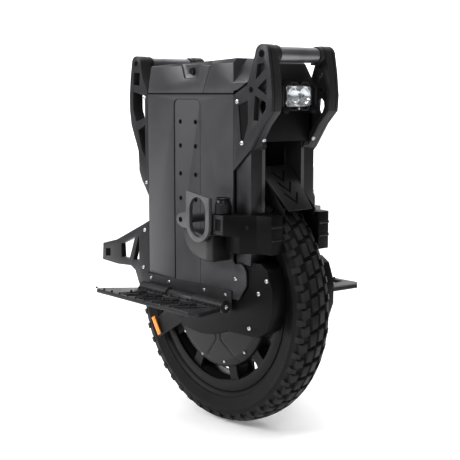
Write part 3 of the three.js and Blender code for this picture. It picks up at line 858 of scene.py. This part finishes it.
# ---------------------------------------------------------------- bolt wells with painted shade, and seams of the arms
# Bolts on the arms' outer faces: y, z and radius.
ARM_BOLTS = ((FRONT_BAR.y, FRONT_BAR.z, 6.4), (-158, 655, 5.2), (REAR_BAR.y, REAR_BAR.z, 5.4))
BOSS_FACE = 84.4
# Face of the near-black discs in the bolt wells, painted shade for the holes' depth.
SHADE_DISC_FACE = 84.15
# Line where the halves of a front arm meet, from the bar's boss down the front edge.
ARM_SEAM = arc(FRONT_BAR.y, FRONT_BAR.z, 17.1, 60, 180, 14)
ARM_SEAM += [(-208.1, 684), (-212.1, 645), (-210.1, 617), (-186.1, 591.9), (-157.1, 548.9), (-128.1, 523.9)]


def arm_details(side):
    """Bosses of the arm bolts, their wells darkened with painted shade, the pane of the low window and the
    seam.
    """
    sign = SIDES[side]
    bosses = bmesh.new()
    shade_discs = bmesh.new()
    for y, z, r in ARM_BOLTS:
        boss = rectangle(r, r + 1.2, 83.0, BOSS_FACE)
        merge(bosses, lathe([(a, sign * b) for a, b in boss], (0, y, z), "x", 36))
        # Near-black disc: painted shade inside the bolt hole.
        shade_disc = [(0.0, 83.6), (r - 0.1, 83.6), (r - 0.1, SHADE_DISC_FACE), (0.0, SHADE_DISC_FACE)]
        merge(shade_discs, lathe([(a, sign * b) for a, b in shade_disc], (0, y, z), "x", 36, closed=False))
    finish_piece("bar_bosses_" + side, bosses, "cast_alloy", "chassis")
    finish_piece("bar_bolt_painted_shade_" + side, shade_discs, "rubber", "chassis")
    pane = bmesh.new()
    extrude(pane, rectangle(-153, -121, 560, 642), "x", sign * 81.0, sign * 82.4)
    finish_piece("front_arm_pane_" + side, pane, "black_plastic", "chassis")
    seam = bmesh.new()
    band(seam, ARM_SEAM, sign * 76.8, sign * 77.8, 1.2, -0.1)
    finish_piece("front_arm_seam_" + side, seam, "rubber", "chassis")


STRIP_FRONT, STRIP_REAR, STRIP_FOOT, STRIP_HEAD = -15, 65, 285, 638
STRIP_CORNER = 12
SEAM_HALF = 0.45


def panel_seams(side):
    """Dark joint lines round the strip of a side panel and a gasket under the top covers."""
    sign = SIDES[side]
    crown = STRIP_HEAD - STRIP_CORNER
    line = [(STRIP_FRONT, STRIP_FOOT), (STRIP_FRONT, crown)]
    line += arc(STRIP_FRONT + STRIP_CORNER, crown, STRIP_CORNER, 180, 90, 6)
    line += arc(STRIP_REAR - STRIP_CORNER, crown, STRIP_CORNER, 90, 0, 6)
    line.append((STRIP_REAR, STRIP_FOOT))
    seam = bmesh.new()
    band(seam, line, sign * (BODY_HALF + 0.05), sign * (BODY_HALF - 1.0), SEAM_HALF, -SEAM_HALF)
    finish_piece("panel_seam_" + side, seam, "rubber", "chassis")
    gasket = bmesh.new()
    joint = panel_high.z
    extrude(gasket, rectangle(-109, 148, joint - 1, joint + 3.6), "x", sign * 79.0, sign * 83.2)
    finish_piece("cover_gasket_" + side, gasket, "rubber", "chassis")


for side in SIDES:
    arm_details(side)
    panel_seams(side)


# ---------------------------------------------------------------- pedals
PEDAL_TILT = -7
STUD_SINK = 1.2
# Rows of studs: distance from the hinge, and places along it.
STUD_ROWS = ((20, range(-92, 150, 26)), (118, range(-86, 156, 26)), (70, range(-83, 120, 26)))


def pedal_studs(side):
    """Three rows of studs on the tipped pedal frame."""
    sign = SIDES[side]
    tilt = Matrix.Rotation(math.radians(PEDAL_TILT), 3, "Y")
    normal = tilt @ Vector((0, 0, 1))
    up = (sign * normal.x, normal.y, normal.z)
    bm = bmesh.new()
    for across, row in STUD_ROWS:
        offset = tilt @ Vector((across, 0, -STUD_SINK))
        for y in row:
            screw(bm, (sign * (HINGE.x + offset.x), y, HINGE.z + offset.z), up, 2.4, 3.4)
    finish_piece("pedal_studs_" + side, bm, "shock_black", "pedal_" + side)


def hinge_sleeves():
    """Thick sleeves round the two hinge barrels of each bracket, and a screw in each pin's front end."""
    sleeves = bmesh.new()
    ends = bmesh.new()
    for sign in SIDES.values():
        centre = (sign * HINGE.x, 0.0, HINGE.z)
        for y0, y1 in ((66.0, 154.0), (-104.0, -15.0)):
            ring = [(9.2, y0), (11.0, y0), (11.9, y0 + 0.9), (11.9, y1 - 0.9), (11.0, y1), (9.2, y1)]
            merge(sleeves, lathe(ring, centre, "y", 40))
        screw(ends, (sign * HINGE.x, -106.0, HINGE.z), (0, -1, 0), 4.6, 2.4)
    finish_piece("hinge_sleeves", sleeves, "cast_alloy", "chassis")
    finish_piece("hinge_pin_screws", ends, "steel", "chassis", smooth=30)


for side in SIDES:
    pedal_studs(side)
hinge_sleeves()


# ---------------------------------------------------------------- mudguard, leg pads, clamps and trim
CHEVRONS = (16, 42, 68)
CHEVRON = ((0, 22), (0, 15), (15, -6), (17, -2))


def mudguard_slots():
    """Three dark chevrons down the sloping plate."""
    top = Vector((0, -130, 514))
    slope = Vector((0, -72, -75)).normalized()
    up = Vector((0, -slope.z, slope.y))
    bm = bmesh.new()
    for start in CHEVRONS:
        for sign in SIDES.values():
            spots = [top + slope * (start + s) + Vector((sign * x, 0, 0)) for x, s in CHEVRON]
            loft(bm, [[bm.verts.new(spot - up * height) for spot in spots] for height in (-0.6, 0.25)])
    finish_piece("mudguard_slots", bm, "rubber", "carriage")


PAD_FLAT = 16
PAD_TIP = 5.6
PAD_LIP = 9
BELLY_START = 0.34


def leg_pad(side):
    """Pad that tapers to the rear, with a belly that curves up to its thin end."""
    node = "leg_pad_" + side
    low, high = box_mm(node)
    sign = SIDES[side]
    inner, outer = sorted((abs(low.x), abs(high.x)))
    length = high.y - low.y
    bm = bmesh.new()
    sections = []
    steps = 16
    for i in range(steps + 1):
        t = i / steps
        taper = max(0.0, (length * t - PAD_FLAT) / (length - PAD_FLAT))
        reach = outer - (outer - inner - PAD_TIP) * taper
        rise = max(0.0, (t - BELLY_START) / (1 - BELLY_START))
        bottom = low.z + (high.z - low.z - PAD_LIP) * (1 - math.sqrt(max(0.0, 1 - rise ** 2)))
        y = low.y + length * t
        section = rectangle(inner, reach, bottom, high.z)
        sections.append([bm.verts.new((sign * x, y, z)) for x, z in section])
    loft(bm, sections)
    finish_piece(node + "_body", bm, "motor_black", "chassis", (node,), 2.0, 3, smooth=40)


def clamp_clevis():
    """Raised frame round the pocket on the outer face of each clamp."""
    bm = bmesh.new()
    for sign in SIDES.values():
        for bar in (
            rectangle(-129, -102, 424, 431),
            rectangle(-129, -102, 396, 403),
            rectangle(-129, -123, 403, 424),
            rectangle(-108, -102, 403, 424),
        ):
            extrude(bm, bar, "x", sign * 124.0, sign * 125.7)
    finish_piece("clamp_clevis", bm, "cast_alloy", "carriage", bevel=0.5)


def bracket_pocket_shade():
    """Dark patches of painted shade for the pockets in the tips of the rear brackets."""
    face = box_mm("rear_bracket_left")[1].x
    bm = bmesh.new()
    for sign in SIDES.values():
        pocket_shade = [(291, 303), (309, 301), (309, 317), (291, 320)]
        extrude(bm, pocket_shade, "x", sign * (face - 0.6), sign * (face + 0.15))
    finish_piece("bracket_pocket_shade", bm, "rubber", "chassis", bevel=0.3)


def clamp_pins():
    """Two cross pins in front of each leg and a screw on the clamp's slanted face."""
    bm = bmesh.new()
    inner, outer = 47.0, 72.0
    pin = [(0, inner), (2.4, inner), (3.0, inner + 0.6), (3.0, outer - 0.6), (2.4, outer), (0, outer)]
    for sign in SIDES.values():
        for z in (412.0, 388.0):
            merge(bm, lathe([(r, sign * x) for r, x in pin], (0, -200.6, z), "x", 24, closed=False))
        screw(bm, (sign * 92.0, -158.0, 410.0), (sign * 0.6, -0.8, 0), 3.4, 2.4)
    finish_piece("clamp_pins", bm, "shock_black", "carriage")


def carriage_trim():
    """Skirts of the mudguard and the bare strip on the front of each fork leg."""
    skirt = [(-138, 503), (-199, 439), (-199, 437), (-193, 425), (-153, 456), (-140, 480)]
    skirts = bmesh.new()
    strips = bmesh.new()
    for sign in SIDES.values():
        extrude(skirts, skirt, "x", sign * 37.6, sign * 39.8)
        extrude(strips, rectangle(-154.3, -153.8, 434, 560), "x", sign * 45.8, sign * 53.5)
    finish_piece("mudguard_skirts", skirts, "black_plastic", "carriage", bevel=0.5)
    finish_piece("leg_strips", strips, "plate_alloy", "carriage")


def lashing_painted_shade():
    """Bolt well in the lug of the lashing plate, darkened by a near-black disc of painted shade."""
    face = box_mm("lashing_plate")[0].x + 0.8
    shade_disc = [(0.0, face), (5.0, face), (5.0, face + 0.6), (0.0, face + 0.6)]
    bm = lathe(shade_disc, (0, -16, 415), "x", 32, closed=False)
    finish_piece("lashing_painted_shade", bm, "rubber", "chassis")


mudguard_slots()
for side in SIDES:
    leg_pad(side)
clamp_clevis()
bracket_pocket_shade()
clamp_pins()
carriage_trim()
lashing_painted_shade()


# ---------------------------------------------------------------- floor, light and camera
def stage_sheet(name, size, location, turn, grey, glow):
    """Plain pale stage sheet that glows a little, as a lit studio does."""
    bm = bmesh.new()
    bmesh.ops.create_grid(bm, x_segments=1, y_segments=1, size=size)
    flat = bpy.data.objects.new(name, bpy.data.meshes.new(name))
    bm.to_mesh(flat.data)
    bm.free()
    bpy.context.scene.collection.objects.link(flat)
    flat.location = location
    flat.rotation_euler = turn
    paper = material(name, (grey, grey, grey), 0.9, vary=0.005)
    shader = paper.node_tree.nodes["Principled BSDF"]
    shader.inputs["Emission Color"].default_value = (1, 1, 1, 1)
    shader.inputs["Emission Strength"].default_value = glow
    flat.data.materials.append(paper)


def area_light(name, location, target, size, power):
    """A soft rectangular light that faces its target."""
    light = bpy.data.lights.new(name, "AREA")
    light.shape = "RECTANGLE"
    light.size, light.size_y = size
    light.energy = power
    lamp = bpy.data.objects.new(name, light)
    bpy.context.scene.collection.objects.link(lamp)
    lamp.location = location
    lamp.rotation_euler = (Vector(target) - Vector(location)).to_track_quat("-Z", "Y").to_euler()


def camera():
    """Long lens ahead of the rider's right side, looking slightly down."""
    data = bpy.data.cameras.new("camera")
    data.sensor_width = 36.0
    data.lens = 77.87
    eye = bpy.data.objects.new("camera", data)
    bpy.context.scene.collection.objects.link(eye)
    right = Vector((0.7556, -0.6550, 0.0)).normalized()
    forward = Vector((0.6489, 0.7486, -0.1362)).normalized()
    up = right.cross(forward)
    turn = Matrix((right, up, -forward)).transposed().to_4x4()
    eye.matrix_world = Matrix.Translation((-1.2734, -1.4732, 0.649)) @ turn
    bpy.context.scene.camera = eye


def world():
    """Weak white light from all round."""
    sky = bpy.data.worlds.new("world")
    bpy.context.scene.world = sky
    sky.use_nodes = True
    background = sky.node_tree.nodes["Background"]
    background.inputs["Color"].default_value = (1.0, 1.0, 1.0, 1)
    background.inputs["Strength"].default_value = 0.18


camera()
world()
stage_sheet("floor", 12.0, (0, 0, -0.0005), (0, 0, 0), 0.95, 0.22)
stage_sheet("backdrop", 9.0, (4.5, 5.2, 4.0), (math.radians(90), 0, math.radians(-40.9)), 0.9, 0.9)
area_light("key", (-3.2, 1.9, 2.3), (0, 0, 0.5), (2.6, 1.4), 150)
area_light("front", (-1.9, -2.8, 2.4), (0, 0, 0.4), (0.9, 0.9), 28)
area_light("top", (0.0, -0.2, 3.4), (0, 0, 0.0), (3.0, 3.0), 110)
bpy.context.scene.view_settings.view_transform = "Standard"
bpy.context.scene.view_settings.gamma = 0.88
